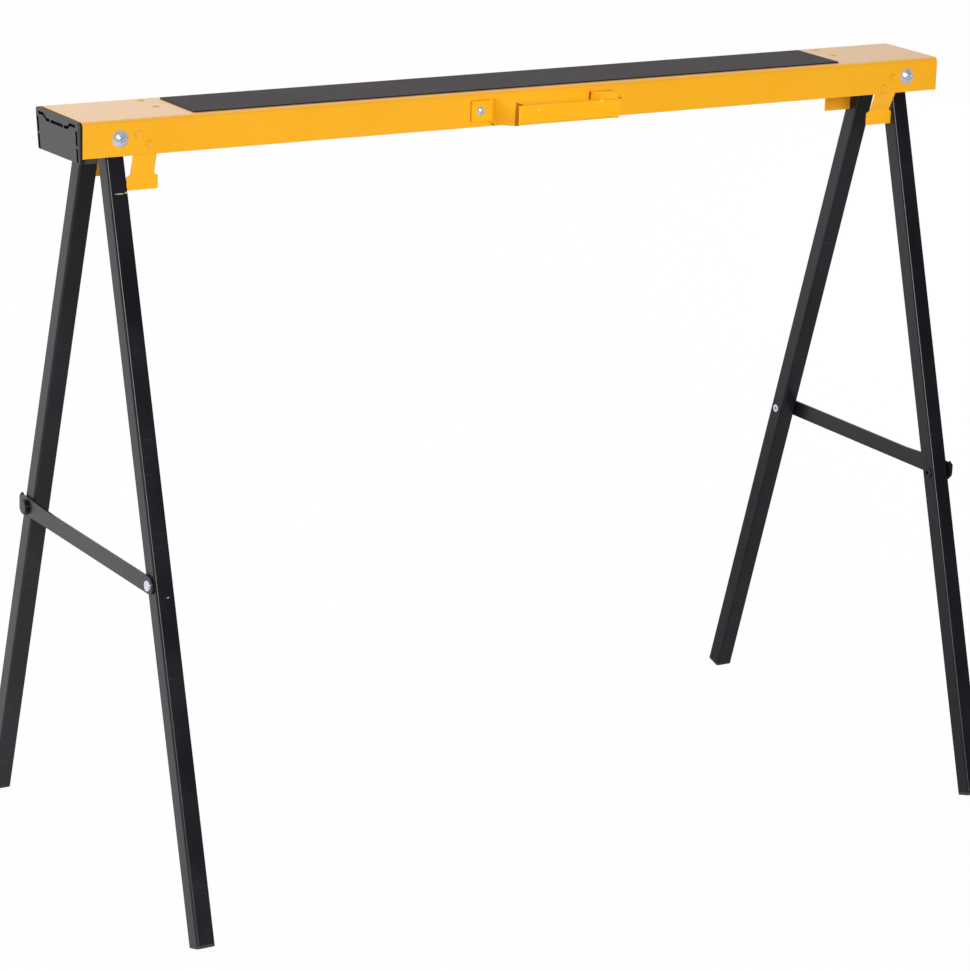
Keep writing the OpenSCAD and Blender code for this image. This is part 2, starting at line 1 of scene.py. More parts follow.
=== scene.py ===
import bmesh
import bpy
import json
import math
from mathutils import Matrix, Vector


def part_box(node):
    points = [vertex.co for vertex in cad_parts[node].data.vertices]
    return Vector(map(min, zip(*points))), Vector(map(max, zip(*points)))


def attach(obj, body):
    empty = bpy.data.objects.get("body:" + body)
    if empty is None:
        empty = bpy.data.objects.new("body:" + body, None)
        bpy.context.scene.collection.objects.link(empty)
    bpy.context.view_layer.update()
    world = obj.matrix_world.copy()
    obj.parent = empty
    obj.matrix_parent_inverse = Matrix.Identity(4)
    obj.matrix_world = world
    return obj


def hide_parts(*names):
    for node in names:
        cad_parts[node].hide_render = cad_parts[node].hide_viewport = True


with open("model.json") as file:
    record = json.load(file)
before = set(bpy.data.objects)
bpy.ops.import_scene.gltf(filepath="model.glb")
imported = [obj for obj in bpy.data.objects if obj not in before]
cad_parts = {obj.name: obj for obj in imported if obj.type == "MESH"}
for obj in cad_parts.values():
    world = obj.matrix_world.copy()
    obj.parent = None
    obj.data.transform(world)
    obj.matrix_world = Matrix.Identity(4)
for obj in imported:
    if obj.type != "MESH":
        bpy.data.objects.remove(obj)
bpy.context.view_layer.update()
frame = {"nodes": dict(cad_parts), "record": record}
nodes = frame["nodes"]
bodyOfNode = {n: body for body, names in frame["record"]["behaviour"]["bodies"].items() for n in names}
mm = 0.001
colorMix = {"factor": 0, "first": 6, "second": 7, "result": 2}  # a Mix node's sockets when it mixes colours


def newGroup(name, inputs, outputs):
    group = bpy.data.node_groups.new(name, "ShaderNodeTree")
    for label, kind, value in inputs:
        socket = group.interface.new_socket(label, in_out="INPUT", socket_type=kind)
        if value is not None:
            socket.default_value = value
    for label, kind in outputs:
        group.interface.new_socket(label, in_out="OUTPUT", socket_type=kind)
    return group, group.nodes.new("NodeGroupInput"), group.nodes.new("NodeGroupOutput")


def addNode(tree, kind, values=None, **settings):
    node = tree.nodes.new("ShaderNode" + kind)
    for name, value in settings.items():
        setattr(node, name, value)
    for name, value in (values or {}).items():
        node.inputs[name].default_value = value
    return node


def addRamp(tree, source, low, high):
    ramp = addNode(tree, "MapRange", {"From Min": low, "From Max": high})
    ramp.interpolation_type = "SMOOTHSTEP"
    tree.links.new(source, ramp.inputs["Value"])
    return ramp.outputs["Result"]


def addMath(tree, operation, first, second):
    node = addNode(tree, "Math", operation=operation)
    for socket, value in zip(node.inputs, (first, second)):
        if isinstance(value, (int, float)):
            socket.default_value = value
        else:
            tree.links.new(value, socket)
    return node.outputs[0]


waveAndGrain = {
    "wave": {"Detail": 2.0, "Roughness": 0.5}, "grain": {"Detail": 3.0, "Roughness": 0.6}, "rise": 0.0006}


def buildCoatTexture():  # the faint waviness and fine grain of sprayed paint
    group, inputs, outputs = newGroup(
        "coatTexture",
        [("Wave Size", "NodeSocketFloat", 260.0), ("Grain Size", "NodeSocketFloat", 2400.0),
         ("Grain", "NodeSocketFloat", 0.3), ("Strength", "NodeSocketFloat", 0.1)],
        [("Normal", "NodeSocketVector"), ("Height", "NodeSocketFloat")])
    place = addNode(group, "TexCoord")
    wave = addNode(group, "TexNoise", waveAndGrain["wave"])
    grain = addNode(group, "TexNoise", waveAndGrain["grain"])
    for noise, size in ((wave, "Wave Size"), (grain, "Grain Size")):
        group.links.new(place.outputs["Object"], noise.inputs["Vector"])
        group.links.new(inputs.outputs[size], noise.inputs["Scale"])
    fine = addMath(group, "MULTIPLY", grain.outputs["Fac"], inputs.outputs["Grain"])
    height = addMath(group, "ADD", wave.outputs["Fac"], fine)
    bump = addNode(group, "Bump", {"Distance": waveAndGrain["rise"]})
    group.links.new(inputs.outputs["Strength"], bump.inputs["Strength"])
    group.links.new(height, bump.inputs["Height"])
    group.links.new(bump.outputs["Normal"], outputs.inputs["Normal"])
    group.links.new(height, outputs.inputs["Height"])
    return group


wearPattern = {
    "samples": 4, "patch": {"Detail": 5.0, "Roughness": 0.65},
    "edge": (0.04, 0.22), "start": 0.78, "spread": 0.4, "soft": 0.08}


def buildEdgeWear():  # a mask along sharp edges, broken up by noise
    group, inputs, outputs = newGroup(
        "edgeWear",
        [("Radius", "NodeSocketFloat", 0.0008), ("Patch Size", "NodeSocketFloat", 90.0),
         ("Amount", "NodeSocketFloat", 0.4)],
        [("Mask", "NodeSocketFloat")])
    place = addNode(group, "TexCoord")
    rounded = addNode(group, "Bevel", samples=wearPattern["samples"])
    flat = addNode(group, "NewGeometry")
    turned = addNode(group, "VectorMath", operation="DOT_PRODUCT")
    patch = addNode(group, "TexNoise", wearPattern["patch"])
    group.links.new(inputs.outputs["Radius"], rounded.inputs["Radius"])
    group.links.new(rounded.outputs["Normal"], turned.inputs[0])
    group.links.new(flat.outputs["Normal"], turned.inputs[1])
    group.links.new(place.outputs["Object"], patch.inputs["Vector"])
    group.links.new(inputs.outputs["Patch Size"], patch.inputs["Scale"])
    edge = addRamp(group, addMath(group, "SUBTRACT", 1.0, turned.outputs["Value"]), *wearPattern["edge"])
    lowered = addMath(group, "MULTIPLY", inputs.outputs["Amount"], wearPattern["spread"])
    start = addMath(group, "SUBTRACT", wearPattern["start"], lowered)
    broken = addRamp(group, addMath(group, "SUBTRACT", patch.outputs["Fac"], start), 0.0, wearPattern["soft"])
    group.links.new(addMath(group, "MULTIPLY", edge, broken), outputs.inputs["Mask"])
    return group


scuffPattern = {
    "lays": ((0.6, 16.0), (-0.9, 22.0)), "lean": 0.7, "line": {"Detail": 2.0, "Roughness": 0.5},
    "lineRange": (0.66, 0.74), "area": {"Scale": 9.0, "Detail": 3.0}, "areaRange": (0.5, 0.62)}


def buildScuffs():  # short fine scratches in two directions
    group, inputs, outputs = newGroup(
        "scuffs",
        [("Size", "NodeSocketFloat", 55.0), ("Amount", "NodeSocketFloat", 0.3)],
        [("Mask", "NodeSocketFloat")])
    place = addNode(group, "TexCoord")
    marks = []
    for turn, stretch in scuffPattern["lays"]:
        turns = (turn, turn * scuffPattern["lean"], turn)
        lay = addNode(group, "Mapping", {"Rotation": turns, "Scale": (1.0, stretch, stretch)})
        line = addNode(group, "TexNoise", scuffPattern["line"])
        group.links.new(place.outputs["Object"], lay.inputs["Vector"])
        group.links.new(lay.outputs["Vector"], line.inputs["Vector"])
        group.links.new(inputs.outputs["Size"], line.inputs["Scale"])
        marks.append(addRamp(group, line.outputs["Fac"], *scuffPattern["lineRange"]))
    where = addNode(group, "TexNoise", scuffPattern["area"])
    group.links.new(place.outputs["Object"], where.inputs["Vector"])
    area = addRamp(group, where.outputs["Fac"], *scuffPattern["areaRange"])
    both = addMath(group, "MAXIMUM", marks[0], marks[1])
    shown = addMath(group, "MULTIPLY", addMath(group, "MULTIPLY", both, area), inputs.outputs["Amount"])
    group.links.new(shown, outputs.inputs["Mask"])
    return group


tonePattern = {"cloud": {"Detail": 4.0, "Roughness": 0.55}, "range": (0.32, 0.68)}


def buildTone():  # slow changes of shade over a surface
    group, inputs, outputs = newGroup(
        "tone",
        [("Size", "NodeSocketFloat", 7.0), ("Color", "NodeSocketColor", (1, 1, 1, 1)),
         ("Second Color", "NodeSocketColor", (1, 1, 1, 1))],
        [("Color", "NodeSocketColor"), ("Fac", "NodeSocketFloat")])
    place = addNode(group, "TexCoord")
    cloud = addNode(group, "TexNoise", tonePattern["cloud"])
    mix = addNode(group, "Mix", data_type="RGBA")
    group.links.new(place.outputs["Object"], cloud.inputs["Vector"])
    group.links.new(inputs.outputs["Size"], cloud.inputs["Scale"])
    spread = addRamp(group, cloud.outputs["Fac"], *tonePattern["range"])
    group.links.new(spread, mix.inputs[colorMix["factor"]])
    group.links.new(inputs.outputs["Color"], mix.inputs[colorMix["first"]])
    group.links.new(inputs.outputs["Second Color"], mix.inputs[colorMix["second"]])
    group.links.new(mix.outputs[colorMix["result"]], outputs.inputs["Color"])
    group.links.new(spread, outputs.inputs["Fac"])
    return group


creviceShadePattern = {"samples": 8, "range": (0.28, 0.62)}


def buildCreviceShade():  # painted shade: a mask in tight corners and gaps, from ambient occlusion
    group, inputs, outputs = newGroup(
        "crevice",
        [("Reach", "NodeSocketFloat", 0.002), ("Amount", "NodeSocketFloat", 0.8)],
        [("Mask", "NodeSocketFloat")])
    openness = addNode(group, "AmbientOcclusion", samples=creviceShadePattern["samples"])
    group.links.new(inputs.outputs["Reach"], openness.inputs["Distance"])
    shut = addMath(group, "SUBTRACT", 1.0, openness.outputs["AO"])
    closed = addRamp(group, shut, *creviceShadePattern["range"])
    group.links.new(addMath(group, "MULTIPLY", closed, inputs.outputs["Amount"]), outputs.inputs["Mask"])
    return group


spotSoftness = 0.45


def buildSpotMark():  # a soft mask round a set place, as long and wide as its size
    group, inputs, outputs = newGroup(
        "spotMark",
        [("Place", "NodeSocketVector", (0.0, 0.0, 0.0)),
         ("Size", "NodeSocketVector", (0.002, 0.002, 0.002))],
        [("Mask", "NodeSocketFloat")])
    place = addNode(group, "TexCoord")
    offset = addNode(group, "VectorMath", operation="SUBTRACT")
    scaled = addNode(group, "VectorMath", operation="DIVIDE")
    away = addNode(group, "VectorMath", operation="LENGTH")
    group.links.new(place.outputs["Object"], offset.inputs[0])
    group.links.new(inputs.outputs["Place"], offset.inputs[1])
    group.links.new(offset.outputs[0], scaled.inputs[0])
    group.links.new(inputs.outputs["Size"], scaled.inputs[1])
    group.links.new(scaled.outputs[0], away.inputs[0])
    near = addRamp(group, addMath(group, "SUBTRACT", 1.0, away.outputs["Value"]), 0.0, spotSoftness)
    group.links.new(near, outputs.inputs["Mask"])
    return group


coatTexture = buildCoatTexture()
edgeWear = buildEdgeWear()
scuffs = buildScuffs()
tone = buildTone()
crevice = buildCreviceShade()
spotMark = buildSpotMark()
print("stage: shared node groups are ready")


def useGroup(tree, group, **values):
    node = addNode(tree, "Group", node_tree=group)
    for name, value in values.items():
        node.inputs[name].default_value = value
    return node


def mixColor(tree, mask, base, over):
    mix = addNode(tree, "Mix", data_type="RGBA")
    tree.links.new(mask, mix.inputs[colorMix["factor"]])
    tree.links.new(base, mix.inputs[colorMix["first"]])
    mix.inputs[colorMix["second"]].default_value = over
    return mix.outputs[colorMix["result"]]


def mixValue(tree, mask, low, high):
    return addMath(tree, "ADD", addMath(tree, "MULTIPLY", mask, high - low), low)


def mixRoughness(tree, mask, look):
    return mixValue(tree, mask, look["roughness"], look["roughness"] + look["roughSpread"])


def addMarks(tree, base, look):  # painted shade, painted highlights, a painted reflection and dark joints at set places
    for place, size, color in look.get("marks", ()):
        mark = useGroup(tree, spotMark, Place=place, Size=size)
        base = mixColor(tree, mark.outputs["Mask"], base, color)
    return base


def sprayedPaint(name, look):
    material = bpy.data.materials.new(name)
    material.use_nodes = True
    tree = material.node_tree
    shader = tree.nodes["Principled BSDF"]
    shader.inputs["Specular IOR Level"].default_value = look["specular"]
    shader.inputs["Coat Weight"].default_value = look["coat"]
    shader.inputs["Coat Roughness"].default_value = look["coatRoughness"]
    shades = useGroup(tree, tone, Size=look["toneSize"])
    shades.inputs["Color"].default_value = look["color"]
    shades.inputs["Second Color"].default_value = look["secondColor"]
    wear = useGroup(tree, edgeWear, Radius=look["wearRadius"], Amount=look["wear"])
    wear.inputs["Patch Size"].default_value = look["patchSize"]
    marks = useGroup(tree, scuffs, Size=look["scuffSize"], Amount=look["scuff"])
    texture = useGroup(tree, coatTexture, Strength=look["wave"], Grain=look["grain"])
    texture.inputs["Wave Size"].default_value = look["waveSize"]
    texture.inputs["Grain Size"].default_value = look["grainSize"]
    scuffed = mixColor(tree, marks.outputs["Mask"], shades.outputs["Color"], look["scuffColor"])
    worn = mixColor(tree, wear.outputs["Mask"], scuffed, look["bareColor"])
    # painted shade: the colour turns to the crevice colour in tight corners and gaps
    corners = useGroup(tree, crevice, Reach=look["creviceReach"], Amount=look["crevice"])
    creviceShaded = mixColor(tree, corners.outputs["Mask"], worn, look["creviceColor"])
    tree.links.new(addMarks(tree, creviceShaded, look), shader.inputs["Base Color"])
    clouded = mixRoughness(tree, shades.outputs["Fac"], look)
    dulled = addMath(tree, "MULTIPLY", marks.outputs["Mask"], look["scuffDulls"])
    rough = addMath(tree, "ADD", clouded, dulled)
    tree.links.new(rough, shader.inputs["Roughness"])
    bare = addMath(tree, "MULTIPLY", wear.outputs["Mask"], look["bareMetal"])
    tree.links.new(bare, shader.inputs["Metallic"])
    tree.links.new(texture.outputs["Normal"], shader.inputs["Normal"])
    return material


yellowLook = {
    "color": (0.92, 0.425, 0.009, 1), "secondColor": (0.95, 0.445, 0.011, 1), "toneSize": 6.0,
    "roughness": 0.30, "roughSpread": 0.07, "specular": 0.5, "coat": 0.9, "coatRoughness": 0.14,
    "wave": 0.07, "waveSize": 420.0, "grain": 0.25, "grainSize": 3000.0,
    "wearRadius": 0.0007, "wear": 0.25, "patchSize": 120.0,
    "bareColor": (0.55, 0.30, 0.10, 1), "bareMetal": 0.2,
    "scuffSize": 50.0, "scuff": 0.16, "scuffDulls": 0.25, "scuffColor": (0.97, 0.62, 0.20, 1),
    # the crevice colour is painted shade in tight corners and gaps
    "creviceReach": 0.0020, "crevice": 0.85, "creviceColor": (0.16, 0.035, 0.004, 1)}
yellowPaint = sprayedPaint("yellowPaint", yellowLook)

handlePaint = sprayedPaint("handlePaint", yellowLook | {  # duller on its edges; painted shade in its bends and corners, painted highlights on the grip's top edge
    "coat": 0.02, "coatRoughness": 0.3, "specular": 0.12, "roughness": 0.42,
    "marks": (
        # painted shade: dark spots in the creased left bend, at the bends' ends and in the right riser's
        # corner
        ((-0.0547, -0.0980, 0.7450), (0.0032, 0.0032, 0.0400), (0.42, 0.110, 0.001, 1)),
        ((-0.0525, -0.1010, 0.7640), (0.0042, 0.0030, 0.0011), (0.16, 0.030, 0.002, 1)),
        ((-0.0560, -0.0540, 0.7650), (0.0022, 0.0036, 0.0020), (0.30, 0.070, 0.003, 1)),
        ((-0.0560, -0.0530, 0.7350), (0.0022, 0.0036, 0.0032), (0.12, 0.020, 0.002, 1)),
        ((0.0590, -0.0510, 0.7600), (0.0012, 0.0040, 0.0100), (0.20, 0.035, 0.003, 1)),
        ((0.0662, -0.0985, 0.7625), (0.0022, 0.0036, 0.0012), (0.16, 0.030, 0.002, 1)),
        # painted highlights: pale spots on the grip's top edge
        ((-0.0310, -0.1014, 0.7578), (0.0009, 0.0030, 0.0016), (0.98, 0.80, 0.20, 1)),
        ((0.0425, -0.1014, 0.7620), (0.0028, 0.0030, 0.0011), (0.98, 0.80, 0.20, 1)),
    )})

rivetPaint = sprayedPaint("rivetPaint", yellowLook | {  # greener, darker and duller than the beam; the darker colour is painted shade on the rivet heads
    "color": (0.72, 0.38, 0.010, 1), "secondColor": (0.68, 0.35, 0.010, 1),
    "coat": 0.20, "coatRoughness": 0.3})

latchPaint = sprayedPaint("latchPaint", yellowLook | {
    "coat": 0.10, "coatRoughness": 0.3, "specular": 0.30, "roughness": 0.42})

blackLook = {
    "color": (0.006, 0.0054, 0.0082, 1), "secondColor": (0.010, 0.009, 0.013, 1), "toneSize": 9.0,
    "roughness": 0.28, "roughSpread": 0.08, "specular": 0.30, "coat": 0.06, "coatRoughness": 0.10,
    "wave": 0.16, "waveSize": 300.0, "grain": 0.3, "grainSize": 2200.0,
    "wearRadius": 0.0006, "wear": 0.3, "patchSize": 140.0,
    "bareColor": (0.20, 0.20, 0.21, 1), "bareMetal": 0.5,
    "scuffSize": 60.0, "scuff": 0.35, "scuffDulls": 0.25, "scuffColor": (0.07, 0.07, 0.075, 1),
    # the crevice colour is painted shade in tight corners and gaps
    "creviceReach": 0.0030, "crevice": 0.8, "creviceColor": (0.003, 0.003, 0.004, 1),
    "marks": (  # painted highlights on the left front leg below the latch's ear and on its plug, and a painted reflection of the yellow ear at the leg's corner
        ((-0.4605, -0.0461, 0.6968), (0.0060, 0.0030, 0.0007), (0.42, 0.42, 0.44, 1)),
        ((-0.4530, -0.0461, 0.6975), (0.0022, 0.0030, 0.0010), (0.60, 0.52, 0.16, 1)),
        ((-0.4587, -0.1552, 0.3272), (0.0021, 0.0040, 0.0007), (0.32, 0.32, 0.36, 1)),
    )}

blackPaint = sprayedPaint("blackPaint", blackLook)

bracePaint = sprayedPaint("bracePaint", blackLook | {"specular": 0.38, "marks": ()})

blackSteel = sprayedPaint("blackSteel", {
    "color": (0.004, 0.004, 0.005, 1), "secondColor": (0.007, 0.007, 0.008, 1), "toneSize": 60.0,
    "roughness": 0.22, "roughSpread": 0.1, "specular": 0.3, "coat": 0.10, "coatRoughness": 0.12,
    "wave": 0.12, "waveSize": 700.0, "grain": 0.5, "grainSize": 4000.0,
    "wearRadius": 0.0005, "wear": 0.55, "patchSize": 400.0,
    "bareColor": (0.30, 0.30, 0.31, 1), "bareMetal": 0.8,
    "scuffSize": 120.0, "scuff": 0.3, "scuffDulls": 0.25, "scuffColor": (0.08, 0.08, 0.08, 1),
    # the crevice colour is painted shade in tight corners and gaps
    "creviceReach": 0.0030, "crevice": 0.8, "creviceColor": (0.003, 0.003, 0.004, 1)})


# grain bump for the plastics, and the painted shade in their corners and gaps
plasticGrainAndCreviceShade = {"grainRise": 0.0002, "crevice": 0.95, "creviceColor": (0.002, 0.002, 0.003, 1)}


def mouldedPlastic(name, look):
    material = bpy.data.materials.new(name)
    material.use_nodes = True
    tree = material.node_tree
    shader = tree.nodes["Principled BSDF"]
    shader.inputs["Specular IOR Level"].default_value = look["specular"]
    shades = useGroup(tree, tone, Size=look["toneSize"])
    shades.inputs["Color"].default_value = look["color"]
    shades.inputs["Second Color"].default_value = look["secondColor"]
    wear = useGroup(tree, edgeWear, Radius=look["wearRadius"], Amount=look["wear"])
    marks = useGroup(tree, scuffs, Size=look["scuffSize"], Amount=look["scuff"])
    place = addNode(tree, "TexCoord")
    grain = addNode(tree, "TexVoronoi", {"Scale": look["grainSize"]})
    bump = addNode(tree, "Bump", {"Strength": look["grain"], "Distance": plasticGrainAndCreviceShade["grainRise"]})
    tree.links.new(place.outputs["Object"], grain.inputs["Vector"])
    tree.links.new(grain.outputs["Distance"], bump.inputs["Height"])
    scuffed = mixColor(tree, marks.outputs["Mask"], shades.outputs["Color"], look["scuffColor"])
    worn = mixColor(tree, wear.outputs["Mask"], scuffed, look["scuffColor"])
    # painted shade: the colour turns to the crevice colour in tight corners and gaps
    corners = useGroup(tree, crevice, Reach=look["creviceReach"], Amount=plasticGrainAndCreviceShade["crevice"])
    creviceShaded = mixColor(tree, corners.outputs["Mask"], worn, plasticGrainAndCreviceShade["creviceColor"])
    tree.links.new(addMarks(tree, creviceShaded, look), shader.inputs["Base Color"])
    clouded = mixRoughness(tree, shades.outputs["Fac"], look)
    tree.links.new(clouded, shader.inputs["Roughness"])
    tree.links.new(bump.outputs["Normal"], shader.inputs["Normal"])
    return material


capLook = {
    "color": (0.034, 0.032, 0.037, 1), "secondColor": (0.042, 0.040, 0.046, 1), "toneSize": 14.0,
    "roughness": 0.46, "roughSpread": 0.08, "specular": 0.5, "grain": 0.25, "grainSize": 1500.0,
    "wearRadius": 0.0006, "wear": 0.35, "scuffSize": 70.0, "scuff": 0.3, "scuffColor": (0.15, 0.15, 0.16, 1),
    "creviceReach": 0.0030, "marks": (  # the dark joint between the cap and the beam
        ((-0.4998, -0.0478, 0.7500), (0.0036, 0.0036, 0.0800), (0.006, 0.002, 0.002, 1)),
        ((-0.5002, -0.0150, 0.7680), (0.0026, 0.0800, 0.0030), (0.008, 0.003, 0.003, 1)),
    )}

capPlastic = mouldedPlastic("capPlastic", capLook)

# painted shade: a near-black plastic standing in for the shade inside the cap's slots
slotPlastic = mouldedPlastic("slotPlastic", capLook | {
    "color": (0.002, 0.002, 0.002, 1), "secondColor": (0.003, 0.003, 0.003, 1),
    "specular": 0.05, "wear": 0.0, "scuff": 0.0})

footPlastic = mouldedPlastic("footPlastic", {
    "color": (0.020, 0.019, 0.022, 1), "secondColor": (0.028, 0.027, 0.030, 1), "toneSize": 20.0,
    "roughness": 0.5, "roughSpread": 0.1, "specular": 0.45, "grain": 0.4, "grainSize": 1300.0,
    "wearRadius": 0.0008, "wear": 0.6, "scuffSize": 80.0, "scuff": 0.5, "scuffColor": (0.11, 0.11, 0.11, 1),
    "creviceReach": 0.0020})

nylonRing = mouldedPlastic("nylonRing", {
    "color": (0.55, 0.60, 0.66, 1), "secondColor": (0.60, 0.64, 0.68, 1), "toneSize": 50.0,
    "roughness": 0.42, "roughSpread": 0.06, "specular": 0.5, "grain": 0.15, "grainSize": 2500.0,
    "wearRadius": 0.0003, "wear": 0.1, "scuffSize": 200.0, "scuff": 0.1, "scuffColor": (0.7, 0.7, 0.7, 1),
    "creviceReach": 0.0008})


def platedSteel(name, look):
    material = bpy.data.materials.new(name)
    material.use_nodes = True
    tree = material.node_tree
    shader = tree.nodes["Principled BSDF"]
    shader.inputs["Metallic"].default_value = look["metal"]
    shades = useGroup(tree, tone, Size=look["toneSize"])
    shades.inputs["Color"].default_value = look["color"]
    shades.inputs["Second Color"].default_value = look["secondColor"]
    wear = useGroup(tree, edgeWear, Radius=look["wearRadius"], Amount=look["wear"])
    marks = useGroup(tree, scuffs, Size=look["scuffSize"], Amount=look["scuff"])
    texture = useGroup(tree, coatTexture, Strength=look["wave"], Grain=look["grain"])
    texture.inputs["Wave Size"].default_value = look["waveSize"]
    scuffed = mixColor(tree, marks.outputs["Mask"], shades.outputs["Color"], look["scuffColor"])
    worn = mixColor(tree, wear.outputs["Mask"], scuffed, look["bareColor"])
    tree.links.new(worn, shader.inputs["Base Color"])
    clouded = mixRoughness(tree, shades.outputs["Fac"], look)
    dulled = addMath(tree, "MULTIPLY", marks.outputs["Mask"], look["scuffDulls"])
    rough = addMath(tree, "ADD", clouded, dulled)
    tree.links.new(rough, shader.inputs["Roughness"])
    tree.links.new(texture.outputs["Normal"], shader.inputs["Normal"])
    return material


brightZinc = platedSteel("brightZinc", {
    "color": (0.56, 0.61, 0.70, 1), "secondColor": (0.68, 0.72, 0.79, 1), "toneSize": 120.0,
    "metal": 0.55, "roughness": 0.30, "roughSpread": 0.12, "wave": 0.12, "waveSize": 900.0, "grain": 0.4,
    "wearRadius": 0.0004, "wear": 0.5, "bareColor": (0.88, 0.89, 0.91, 1),
    "scuffSize": 150.0, "scuff": 0.35, "scuffDulls": 0.2, "scuffColor": (0.50, 0.53, 0.58, 1)})


def gritRubber(name, look):
    material = bpy.data.materials.new(name)
    material.use_nodes = True
    tree = material.node_tree
    shader = tree.nodes["Principled BSDF"]
    shader.inputs["Specular IOR Level"].default_value = look["specular"]
    shades = useGroup(tree, tone, Size=look["toneSize"])
    shades.inputs["Color"].default_value = look["color"]
    shades.inputs["Second Color"].default_value = look["secondColor"]
    place = addNode(tree, "TexCoord")
    grit = addNode(tree, "TexVoronoi", {"Scale": look["gritSize"], "Randomness": 1.0})
    fine = addNode(tree, "TexNoise", {"Scale": look["gritSize"] * look["fineShare"], "Detail": 3.0})
    for texture in (grit, fine):
        tree.links.new(place.outputs["Object"], texture.inputs["Vector"])
    grains = addMath(tree, "MULTIPLY", grit.outputs["Distance"], -1.0)
    bump = addNode(tree, "Bump", {"Strength": look["grit"], "Distance": look["gritRise"]})
    tree.links.new(addMath(tree, "ADD", grains, fine.outputs["Fac"]), bump.inputs["Height"])
    bright = addRamp(tree, fine.outputs["Fac"], *look["sparkleRange"])
    sparkle = addMath(tree, "MULTIPLY", bright, look["sparkle"])
    colored = mixColor(tree, sparkle, shades.outputs["Color"], look["gritColor"])
    # painted shade: faces turned away from up, the pad's sides and eased edges, take the dark side colour
    facing = addNode(tree, "SeparateXYZ")
    tree.links.new(addNode(tree, "NewGeometry").outputs["Normal"], facing.inputs[0])
    upward = addRamp(tree, facing.outputs["Z"], *look["sideRange"])
    sideShaded = mixColor(tree, addMath(tree, "SUBTRACT", 1.0, upward), colored, look["sideColor"])
    tree.links.new(sideShaded, shader.inputs["Base Color"])
    tree.links.new(mixRoughness(tree, grit.outputs["Distance"], look), shader.inputs["Roughness"])
    tree.links.new(bump.outputs["Normal"], shader.inputs["Normal"])
    return material


padRubber = gritRubber("padRubber", {
    "color": (0.030, 0.024, 0.031, 1), "secondColor": (0.040, 0.032, 0.041, 1), "toneSize": 12.0,
    "roughness": 0.62, "roughSpread": 0.2, "specular": 0.45,
    "gritSize": 900.0, "fineShare": 2.3, "grit": 0.55, "gritRise": 0.0004,
    "sparkle": 0.5, "sparkleRange": (0.58, 0.72), "gritColor": (0.10, 0.088, 0.105, 1),
    # the side colour is painted shade along the pad's edges
    "sideRange": (0.60, 0.97), "sideColor": (0.010, 0.003, 0.002, 1)})
print("stage: finishes are ready")


def smoothByAngle(mesh, sharpAngle):
    work = bmesh.new()
    work.from_mesh(mesh)
    for face in work.faces:
        face.smooth = True
    for edge in work.edges:
        edge.smooth = len(edge.link_faces) != 2 or edge.calc_face_angle() < math.radians(sharpAngle)
    work.to_mesh(mesh)
    work.free()


def finishPiece(piece, material, body, stands=()):
    piece.data.materials.clear()
    piece.data.materials.append(material)
    even = piece.modifiers.new("evenShading", "WEIGHTED_NORMAL")
    even.keep_sharp = True
    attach(piece, body)
    if stands:
        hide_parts(*stands)


def newPiece(name, work, sharpAngle=50):
    mesh = bpy.data.meshes.new(name)
    work.to_mesh(mesh)
    work.free()
    smoothByAngle(mesh, sharpAngle)
    piece = bpy.data.objects.new(name, mesh)
    bpy.context.scene.collection.objects.link(piece)
    return piece


eased = [
    ("beam_channel", {"edge": 0.3, "segments": 2, "turn": 30}, yellowPaint, "yellow_paint"),
    ("pad_rivets", {"edge": 0.12, "segments": 2, "turn": 30}, rivetPaint, "yellow_paint"),
    ("end_cap", {"edge": 0.25, "segments": 2, "turn": 32}, capPlastic, "grey_plastic"),
    ("handle_screw", {"edge": 0.15, "segments": 2, "turn": 30}, brightZinc, "zinc"),
    ("handle_nuts", {"edge": 0.2, "segments": 2, "turn": 30}, brightZinc, "zinc"),
    ("handle", {"edge": 0.45, "segments": 3, "turn": 30}, handlePaint, "yellow_paint"),
    ("pivot_bolt", {"edge": 0.25, "segments": 2, "turn": 30}, brightZinc, "zinc"),
    ("pivot_nut", {"edge": 0.3, "segments": 2, "turn": 30}, brightZinc, "zinc"),
    ("leg", {"edge": 0.25, "segments": 2, "turn": 30}, blackPaint, "black_paint"),
    ("foot", {"edge": 0.35, "segments": 2, "turn": 30}, footPlastic, "grey_plastic"),
    ("brace_rivet", {"edge": 0.2, "segments": 2, "turn": 30}, brightZinc, "zinc"),
    ("brace", {"edge": 0.4, "segments": 2, "turn": 30}, bracePaint, "black_paint"),
    ("hook_stud", {"edge": 0.25, "segments": 2, "turn": 30}, blackSteel, "black_steel"),
    ("stud_nut", {"edge": 0.25, "segments": 2, "turn": 30}, blackSteel, "black_steel"),
    ("latch_blade", {"edge": 0.25, "segments": 2, "turn": 12}, latchPaint, "yellow_paint"),
    ("latch_rivets", {"edge": 0.08, "segments": 1, "turn": 30}, yellowPaint, "yellow_paint"),
    ("latch_root", {"edge": 0.2, "segments": 1, "turn": 30}, yellowPaint, "yellow_paint"),
]


def camelName(nodeName):
    first, *rest = nodeName.split("_")
    return first + "".join(word.capitalize() for word in rest)


capFace = {
    "end": -500.0, "endSlack": 0.5, "top": 768.0, "wide": 96.6, "high": 34.6, "under": 5.0,
    "out": 5.2, "skew": 2.5, "tip": 1.9,
    "side": 43.5, "sideReach": 1.3, "sideGrow": 1.05, "rowReach": 42.0, "rowGrow": 0.5, "rowSlack": 1.6,
    "highRow": -6.0, "lowRow": -10.2, "rowUp": 2.0, "slopeFrom": 23.25, "slopeTo": 30.0,
    "bridge": -23.4, "rowBridge": 15.0, "bridgeReach": 2.2, "bridgePush": 0.7,
    "rearIn": 1.9, "rearLowIn": 1.2, "rearDown": 1.0, "rearLower": 1.2, "corner": 6.0, "square": 0.75,
    "slotDepths": (0.35, 4.1), "slotHeights": (-37.8, -1.5), "slotSpread": 45.9}


